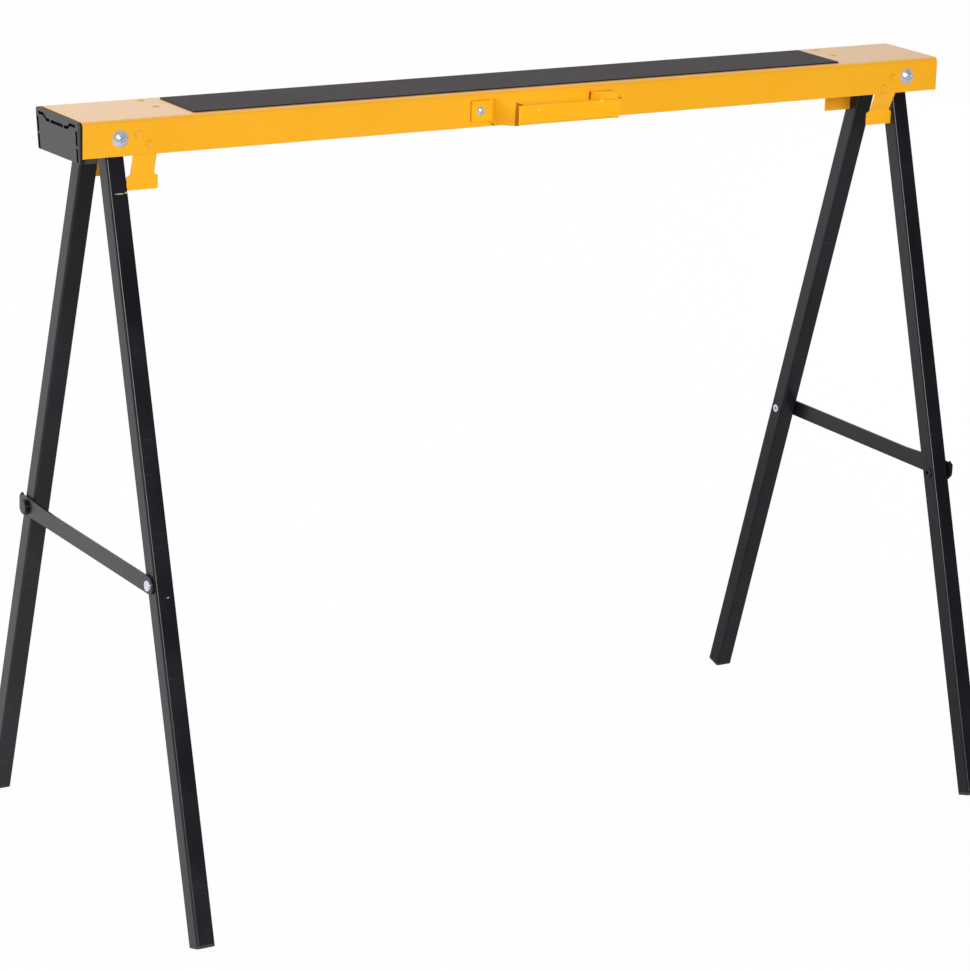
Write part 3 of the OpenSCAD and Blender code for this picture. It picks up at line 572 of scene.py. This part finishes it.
def clamped(value):
    return min(max(value, 0.0), 1.0)


def rearShift(back, down):  # how far the cap's rear is pushed in
    return back * (capFace["rearIn"] + capFace["rearLowIn"] * down)


def widenSlot(across, down):  # moves a point on the rim of a slot outwards
    look = capFace
    side = math.copysign(1.0, across)
    fromSide = abs(across) - look["side"]
    fromBridge = down - look["bridge"]
    if abs(fromSide) < look["sideReach"]:
        across += side * math.copysign(look["sideGrow"], fromSide)
        if abs(fromBridge) < look["bridgeReach"]:
            down += math.copysign(look["bridgePush"], fromBridge)
        return across, down
    slope = clamped((abs(across) - look["slopeFrom"]) / (look["slopeTo"] - look["slopeFrom"]))
    fromRow = down - look["lowRow"] - (look["highRow"] - look["lowRow"]) * slope
    fromGap = abs(across) - look["rowBridge"]
    if abs(across) < look["rowReach"] and abs(fromRow) < look["rowSlack"]:
        down += math.copysign(look["rowGrow"], fromRow) + look["rowUp"]
        if abs(fromGap) < look["bridgeReach"]:
            across += side * math.copysign(look["bridgePush"], fromGap)
    return across, down


def settleCap(work):  # the rear of the left cap hangs lower and further in, with a squarer corner
    look = capFace
    for vert in work.verts:
        at = vert.co / mm
        if at.x > look["end"] - look["endSlack"]:
            continue
        at.y, at.z = widenSlot(at.y, at.z - look["top"])
        at.z += look["top"]
        back = at.y / look["wide"] + 0.5
        down = clamped((look["top"] - at.z) / (look["high"] + look["under"]))
        centre = Vector((look["wide"] / 2 - look["corner"], look["top"] - look["corner"]))
        arm = Vector((at.y, at.z)) - centre
        if arm.x > 0 and arm.y > 0:
            unit = arm.normalized()
            arm *= 1 + look["square"] * (1 / max(unit.x, unit.y) - 1)
            at.y, at.z = centre.x + arm.x, centre.y + arm.y
        at.x += rearShift(back, down) * min((look["end"] - at.x) / look["out"], 1.0)
        at.z -= (look["rearDown"] + look["rearLower"] * down) * back
        vert.co = at * mm


gripShape = {
    "corner": (-49.6, -96.0), "outer": 5.4, "skin": 1.0, "dent": 0.8, "dentFrom": 4, "dentTo": 40,
    "gripFrom": -97.0, "gripBlend": 2.0, "gripMiddle": 752.0,
    "lowerLeft": 1.4, "lowerRight": 3.0, "length": 121.0,
    "riserFrom": 60.0, "riserTo": 69.5, "riserLean": 4.2, "wallBend": -53.7, "depth": 42.0, "endLean": 1.8}


def shapeHandle(work):  # lowers the grip's upper edge, leans the right riser, creases the left bend
    look = gripShape
    for vert in work.verts:
        at = vert.co / mm
        if at.y < look["gripFrom"] and at.z > look["gripMiddle"]:
            along = (at.x + look["length"] / 2) / look["length"]
            lower = look["lowerLeft"] + (look["lowerRight"] - look["lowerLeft"]) * along
            at.z -= lower * min((look["gripFrom"] - at.y) / look["gripBlend"], 1.0)
            at.x += look["endLean"] if at.x > look["riserFrom"] else 0.0
        if look["riserFrom"] < at.x < look["riserTo"]:
            at.x -= look["riserLean"] * (1 - clamped((look["wallBend"] - at.y) / look["depth"]))
        arm = Vector((at.x - look["corner"][0], at.y - look["corner"][1]))
        angle = math.degrees(math.atan2(-arm.y, -arm.x)) if arm.x < 0 and arm.y < 0 else -1
        if look["dentFrom"] < angle < look["dentTo"] and arm.length > look["outer"] - look["skin"]:
            arm *= 1 - look["dent"] / look["outer"]
            at.x, at.y = look["corner"][0] + arm.x, look["corner"][1] + arm.y
        vert.co = at * mm


padRivets = {"seat": 0.768, "proud": 0.55}


def flattenRivets(work):  # the pad's rivets are set almost flush
    for vert in work.verts:
        if vert.co.z > padRivets["seat"]:
            vert.co.z = padRivets["seat"] + (vert.co.z - padRivets["seat"]) * padRivets["proud"]


hookFlare = {
    "middle": 337.0, "length": 55.0, "flat": 12.0, "edge": 6.5, "cuts": (0.0, 0.25, 0.5, 0.75, 1.0),
    "cutSlack": 0.001, "tipFrom": 8.5, "tipLength": 4.0, "tipUp": 3.0, "lipFrom": 12.4}
hooks = {
    "brace_left": {"y": 141.8, "rise": 1.8, "lipUp": 0.0, "tuck": 0.0},
    "brace_right": {"y": -141.8, "rise": 3.0, "lipUp": 1.2, "tuck": 2.0}}


def flareHook(work, hook):  # the brace grows taller towards its hook
    look = hookFlare
    way = 1 if hook["y"] > 0 else -1
    for share in look["cuts"]:
        across = hook["y"] - way * (look["flat"] + look["length"] * share)
        bmesh.ops.bisect_plane(
            work, geom=work.verts[:] + work.edges[:] + work.faces[:], dist=look["cutSlack"] * mm,
            plane_co=(0, across * mm, 0), plane_no=(0, 1, 0), clear_inner=False, clear_outer=False)
    for vert in work.verts:
        at = vert.co / mm
        past = way * (at.y - hook["y"]) - look["tipFrom"]
        if past > 0 and hook["tuck"] > 0:
            inTip = min(past / look["tipLength"], 1.0)
            at.y -= way * inTip * hook["tuck"]
            at.z += look["tipUp"] * inTip if at.z < look["middle"] else 0.0
        if at.z > look["middle"] + look["edge"]:
            share = 1 - (way * (hook["y"] - at.y) - look["flat"]) / look["length"]
            inLip = way * (at.y - hook["y"]) > look["lipFrom"] - hook["tuck"]
            at.z += hook["lipUp"] if inLip else hook["rise"] * clamped(share)
        vert.co = at * mm


nudged = {
    "latch_blade_right_front": (1.6, 0.0, 0.0), "latch_rivets_right_front": (0.8, 0.0, -2.0),
    "latch_blade_left_front": (-1.3, 0.0, 0.3), "latch_rivets_left_front": (0.7, 0.0, 2.0),
    "latch_blade_right_rear": (0.0, 0.0, 2.2), "latch_blade_left_rear": (0.0, 0.0, -1.5)}
nudgedPart = {"outside": 0.046, "below": 0.727}


def nudge(work, shift):  # some of the bent plates and rivets sit a little off their places
    for vert in work.verts:
        if abs(vert.co.y) > nudgedPart["outside"] or vert.co.z < nudgedPart["below"]:
            vert.co += Vector(shift) * mm


headShape = {"wide": 0.90, "x": 460.8, "z": 750.1, "front": -48.3, "slack": 0.01, "recess": 4.5}


def narrowHead(work, side):  # the bolt's round head is a little smaller than its washer face
    look = headShape
    for vert in work.verts:
        at = vert.co / mm
        out = math.hypot(at.x - side * look["x"], at.z - look["z"])
        if at.y < look["front"] + look["slack"] and out > look["recess"]:
            at.x = side * look["x"] + (at.x - side * look["x"]) * look["wide"]
            at.z = look["z"] + (at.z - look["z"]) * look["wide"]
            vert.co = at * mm


def reshape(nodeName, work):
    if nodeName == "handle":
        shapeHandle(work)
    elif nodeName == "end_cap_left":
        settleCap(work)
    elif nodeName in hooks:
        flareHook(work, hooks[nodeName])
    elif nodeName == "pad_rivets":
        flattenRivets(work)
    elif nodeName in nudged:
        nudge(work, nudged[nodeName])
    elif nodeName.startswith("pivot_bolt"):
        narrowHead(work, -1 if nodeName.endswith("left") else 1)


cleaning = {"merge": 0.002, "flat": 0.3, "sliver": 0.01}


def easedCopy(nodeName, look):  # a node's mesh, cleaned, reshaped and with its edges rounded
    work = bmesh.new()
    work.from_mesh(nodes[nodeName].data)
    bmesh.ops.remove_doubles(work, verts=work.verts, dist=cleaning["merge"] * mm)
    bmesh.ops.dissolve_limit(
        work, angle_limit=math.radians(cleaning["flat"]), use_dissolve_boundaries=False,
        verts=work.verts, edges=work.edges)
    reshape(nodeName, work)
    bmesh.ops.dissolve_degenerate(work, dist=cleaning["sliver"] * mm, edges=work.edges)
    turn = math.radians(look["turn"])
    sharp = [e for e in work.edges if len(e.link_faces) == 2 and e.calc_face_angle() > turn]
    bmesh.ops.bevel(
        work, geom=sharp, offset=look["edge"] * mm, offset_type="OFFSET", segments=look["segments"],
        profile=0.5, affect="EDGES", clamp_overlap=True, material=-1)
    bmesh.ops.dissolve_degenerate(work, dist=cleaning["merge"] * mm, edges=work.edges)
    bmesh.ops.triangulate(work, faces=[f for f in work.faces if len(f.verts) > 4])
    return work


def darkenSlots(piece):  # painted shade: the floors and walls of the slots in the cap's face get a near-black material
    look = capFace
    piece.data.materials.append(slotPlastic)
    shallow, deep = look["slotDepths"]
    lowest, highest = look["slotHeights"]
    for face in piece.data.polygons:
        x, y, z = face.center / mm
        plane = look["end"] - look["out"] - look["skew"] * y / look["wide"]
        plane -= look["tip"] * ((z - look["top"]) / look["high"] + 0.5)
        down = clamped((look["top"] - z) / (look["high"] + look["under"]))
        plane += rearShift(y / look["wide"] + 0.5, down)
        inside = abs(y) < look["slotSpread"] and lowest < z - look["top"] < highest
        if inside and plane + shallow < x < plane + deep:
            face.material_index = 1


dressed = set()
for prefix, look, material, slotName in eased:
    for nodeName in sorted(nodes):
        if nodeName in dressed or not (nodeName == prefix or nodeName.startswith(prefix + "_")):
            continue
        piece = newPiece(camelName(nodeName), easedCopy(nodeName, look))
        finishPiece(piece, material, bodyOfNode[nodeName], [nodeName])
        if nodeName == "end_cap_left":
            darkenSlots(piece)
        dressed.add(nodeName)
print("stage: eased pieces are in place")

for nodeName, node in nodes.items():  # the inner rings on the bolts stay as they are
    if nodeName.startswith(("bush", "spacer")):
        for index in range(len(node.material_slots)):
            node.material_slots[index].material = footPlastic
        dressed.add(nodeName)


gripPad = {"edge": 0.45, "edgeSegments": 2, "corner": 1.2, "cornerSegments": 6, "topSlack": 0.1, "sharp": 60}


def buildGripPad():  # the grit strip on the beam's top
    look = gripPad
    low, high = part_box("grip_pad")
    work = bmesh.new()
    made = bmesh.ops.create_cube(work, size=1.0)
    bmesh.ops.scale(work, vec=Vector(high) - Vector(low), verts=made["verts"])
    bmesh.ops.translate(work, vec=(Vector(high) + Vector(low)) / 2, verts=made["verts"])
    corners = [e for e in work.edges if abs(e.verts[0].co.z - e.verts[1].co.z) > mm]
    bmesh.ops.bevel(
        work, geom=corners, offset=look["corner"] * mm, offset_type="OFFSET", segments=look["cornerSegments"],
        profile=0.5, affect="EDGES", clamp_overlap=True, material=-1)
    top = [e for e in work.edges if all(v.co.z > high[2] - look["topSlack"] * mm for v in e.verts)]
    bmesh.ops.bevel(
        work, geom=top, offset=look["edge"] * mm, offset_type="OFFSET", segments=look["edgeSegments"],
        profile=0.5, affect="EDGES", clamp_overlap=True, material=-1)
    return newPiece("gripPad", work, look["sharp"])


finishPiece(buildGripPad(), padRubber, "beam", ["grip_pad"])
dressed.add("grip_pad")
print("stage: grip pad is in place")
print("undressed:", sorted(set(nodes) - dressed))


legPlug = {
    "bolt": (-460.8, -20.2, 750.1), "splay": -16.4, "at": (1.5, -9.7, -443.4),
    "wide": 4.2, "taper": 0.15, "high": 0.7, "sides": 32, "edge": 0.35, "edgeSegments": 3, "sharp": 60}


def buildLegPlug():  # a small button on the front of the left front leg
    look = legPlug
    work = bmesh.new()
    bmesh.ops.create_cone(
        work, cap_ends=True, cap_tris=False, segments=look["sides"], radius1=look["wide"] / 2,
        radius2=look["wide"] / 2 - look["taper"], depth=look["high"])
    rim = [e for e in work.edges if all(v.co.z > 0 for v in e.verts)]
    bmesh.ops.bevel(
        work, geom=rim, offset=look["edge"], offset_type="OFFSET", segments=look["edgeSegments"],
        profile=0.5, affect="EDGES", clamp_overlap=True, material=-1)
    onFace = Matrix.Translation(look["at"]) @ Matrix.Rotation(math.radians(90), 4, "X")
    onLeg = Matrix.Translation(look["bolt"]) @ Matrix.Rotation(math.radians(look["splay"]), 4, "X")
    bmesh.ops.transform(work, matrix=Matrix.Scale(mm, 4) @ onLeg @ onFace, verts=work.verts)
    return newPiece("legPlug", work, look["sharp"])


lockRings = {
    "y": 48.3, "z": 750.1, "boltX": 460.8, "inner": 4.08, "outer": 5.5, "foot": 7.6, "top": 8.5,
    "edge": 0.3, "steps": 40, "merge": 0.001, "sharp": 35}


def buildLockRing(name, x):  # the nylon ring in the end of a pivot nut
    look = lockRings
    work = bmesh.new()
    inner, outer, foot, top, edge = (look[key] for key in ("inner", "outer", "foot", "top", "edge"))
    profile = [
        (inner, foot), (outer, foot), (outer, top - edge),
        (outer - edge, top), (inner + edge, top), (inner, top - edge)]
    ring = [work.verts.new((radius, up, 0.0)) for radius, up in profile]
    edges = [work.edges.new((ring[k], ring[(k + 1) % len(ring)])) for k in range(len(ring))]
    bmesh.ops.spin(
        work, geom=ring + edges, cent=(0, 0, 0), axis=(0, 1, 0), angle=2 * math.pi, steps=look["steps"],
        use_merge=True)
    bmesh.ops.remove_doubles(work, verts=work.verts, dist=look["merge"])
    bmesh.ops.recalc_face_normals(work, faces=work.faces)
    place = Matrix.Scale(mm, 4) @ Matrix.Translation((x, look["y"], look["z"]))
    bmesh.ops.transform(work, matrix=place, verts=work.verts)
    return newPiece(name, work, look["sharp"])


finishPiece(buildLegPlug(), blackPaint, "leg_left_front")
finishPiece(buildLockRing("lockRingLeft", -lockRings["boltX"]), nylonRing, "beam")
finishPiece(buildLockRing("lockRingRight", lockRings["boltX"]), nylonRing, "beam")
print("stage: leg plug and lock rings are in place")


studio = {
    "white": (1, 1, 1, 1), "floorReach": ((-9.0, -0.95), (9.0, 16.0)), "floorRough": 0.9,
    "floorSpecular": 0.1, "floorWhite": 0.95, "floorFade": (-0.75, 0.0), "floorDim": 0.62,
    "roomLevel": 0.24, "roomGloss": 0.045, "backdrop": 0.95, "backdropRight": 0.6,
    "behindRange": (-0.35, 0.15), "rightRange": (0.35, 0.70)}


def showsWhite(tree):  # what the eye, a mirror or glass sees of the studio
    paths = addNode(tree, "LightPath")
    seen = addMath(tree, "MAXIMUM", paths.outputs["Is Camera Ray"], paths.outputs["Is Glossy Ray"])
    return paths, addMath(tree, "MAXIMUM", seen, paths.outputs["Is Transmission Ray"])


def buildFloor():  # a pale floor, white to the eye and dimmer on the right to the pieces it lights
    (left, near), (right, far) = studio["floorReach"]
    work = bmesh.new()
    made = bmesh.ops.create_grid(work, x_segments=1, y_segments=1, size=0.5)
    bmesh.ops.scale(work, vec=(right - left, far - near, 1.0), verts=made["verts"])
    bmesh.ops.translate(work, vec=((left + right) / 2, (near + far) / 2, 0.0), verts=made["verts"])
    mesh = bpy.data.meshes.new("floor")
    work.to_mesh(mesh)
    work.free()
    floor = bpy.data.objects.new("floor", mesh)
    bpy.context.scene.collection.objects.link(floor)
    material = bpy.data.materials.new("paleFloor")
    material.use_nodes = True
    tree = material.node_tree
    shader = tree.nodes["Principled BSDF"]
    shader.inputs["Base Color"].default_value = studio["white"]
    shader.inputs["Roughness"].default_value = studio["floorRough"]
    shader.inputs["Specular IOR Level"].default_value = studio["floorSpecular"]
    white = addNode(tree, "Emission", {"Color": studio["white"]})
    paths, seen = showsWhite(tree)
    axes = addNode(tree, "SeparateXYZ")
    tree.links.new(addNode(tree, "TexCoord").outputs["Object"], axes.inputs[0])
    fade = addRamp(tree, axes.outputs["X"], *studio["floorFade"])
    dim = addMath(tree, "MULTIPLY", fade, studio["floorDim"])
    level = addMath(tree, "MAXIMUM", addMath(tree, "SUBTRACT", 1.0, dim), paths.outputs["Is Camera Ray"])
    tree.links.new(level, white.inputs["Strength"])
    share = addMath(tree, "MULTIPLY", seen, studio["floorWhite"])
    mix = addNode(tree, "MixShader")
    tree.links.new(share, mix.inputs[0])
    tree.links.new(shader.outputs[0], mix.inputs[1])
    tree.links.new(white.outputs[0], mix.inputs[2])
    tree.links.new(mix.outputs[0], tree.nodes["Material Output"].inputs["Surface"])
    mesh.materials.append(material)


def buildWorld():  # a white backdrop behind, the dimmer room in front
    world = bpy.data.worlds.new("studioWorld")
    bpy.context.scene.world = world
    world.use_nodes = True
    tree = world.node_tree
    tree.nodes.clear()
    place = addNode(tree, "TexCoord")
    axes = addNode(tree, "SeparateXYZ")
    tree.links.new(place.outputs["Generated"], axes.inputs[0])
    behind = addRamp(tree, axes.outputs["Y"], *studio["behindRange"])
    aside = addRamp(tree, axes.outputs["X"], *studio["rightRange"])
    paths, seen = showsWhite(tree)
    room = studio["roomGloss"]
    far = mixValue(tree, aside, studio["backdrop"] - room, studio["backdropRight"] - room)
    gloss = addMath(tree, "ADD", addMath(tree, "MULTIPLY", far, behind), room)
    level = addMath(tree, "MAXIMUM", gloss, paths.outputs["Is Camera Ray"])
    light = addNode(tree, "Background", {"Color": studio["white"], "Strength": studio["roomLevel"]})
    shown = addNode(tree, "Background", {"Color": studio["white"]})
    mix = addNode(tree, "MixShader")
    out = addNode(tree, "OutputWorld")
    tree.links.new(level, shown.inputs["Strength"])
    tree.links.new(seen, mix.inputs[0])
    tree.links.new(light.outputs[0], mix.inputs[1])
    tree.links.new(shown.outputs[0], mix.inputs[2])
    tree.links.new(mix.outputs[0], out.inputs["Surface"])


lamps = {
    "keyLight": {"at": (-2.6, -8.2, 3.4), "size": (3.6, 3.0), "power": 655, "shows": True},
    "leftLight": {"at": (-3.9, 1.4, 1.7), "size": (2.8, 2.0), "power": 60, "shows": True},
    "rearLight": {"at": (-2.8, 6.8, 2.4), "size": (3.0, 2.2), "power": 330, "shows": False},
    "rightLight": {"at": (5.6, 0.8, 2.0), "size": (2.4, 2.2), "power": 235, "shows": False},
}
lampTarget = (0, 0, 0.45)


def addLamp(name, look):
    data = bpy.data.lights.new(name, "AREA")
    data.shape = "RECTANGLE"
    data.size, data.size_y = look["size"]
    data.energy = look["power"]
    lamp = bpy.data.objects.new(name, data)
    lamp.visible_glossy = look["shows"]
    bpy.context.scene.collection.objects.link(lamp)
    turn = (Vector(lampTarget) - Vector(look["at"])).to_track_quat("-Z", "Y")
    lamp.matrix_world = Matrix.Translation(look["at"]) @ turn.to_matrix().to_4x4()


cameraSettings = {
    "at": (-1.9728, -3.2230, 1.4593), "turn": 0.5448, "tilt": 0.2767, "roll": 0.0340,
    "lens": 140.22, "sensor": 36.0, "shiftX": 0.0007, "shiftY": -0.0448}


def buildCamera():
    look = cameraSettings
    ahead = Vector((
        math.sin(look["turn"]) * math.cos(look["tilt"]),
        math.cos(look["turn"]) * math.cos(look["tilt"]),
        -math.sin(look["tilt"])))
    right = ahead.cross(Vector((0, 0, 1))).normalized()
    up = right.cross(ahead)
    rolledRight = right * math.cos(look["roll"]) + up * math.sin(look["roll"])
    rolledUp = rolledRight.cross(ahead)
    data = bpy.data.cameras.new("mainCamera")
    data.sensor_fit = "HORIZONTAL"
    data.sensor_width = look["sensor"]
    data.lens = look["lens"]
    data.shift_x = look["shiftX"]
    data.shift_y = look["shiftY"]
    camera = bpy.data.objects.new("mainCamera", data)
    bpy.context.scene.collection.objects.link(camera)
    turn = Matrix((rolledRight, rolledUp, -ahead)).transposed()
    camera.matrix_world = Matrix.Translation(look["at"]) @ turn.to_4x4()
    bpy.context.scene.camera = camera


buildFloor()
buildWorld()
for lampName, lampLook in lamps.items():
    addLamp(lampName, lampLook)
buildCamera()
bpy.context.scene.view_settings.view_transform = "Standard"
print("stage: floor, light and camera are ready")
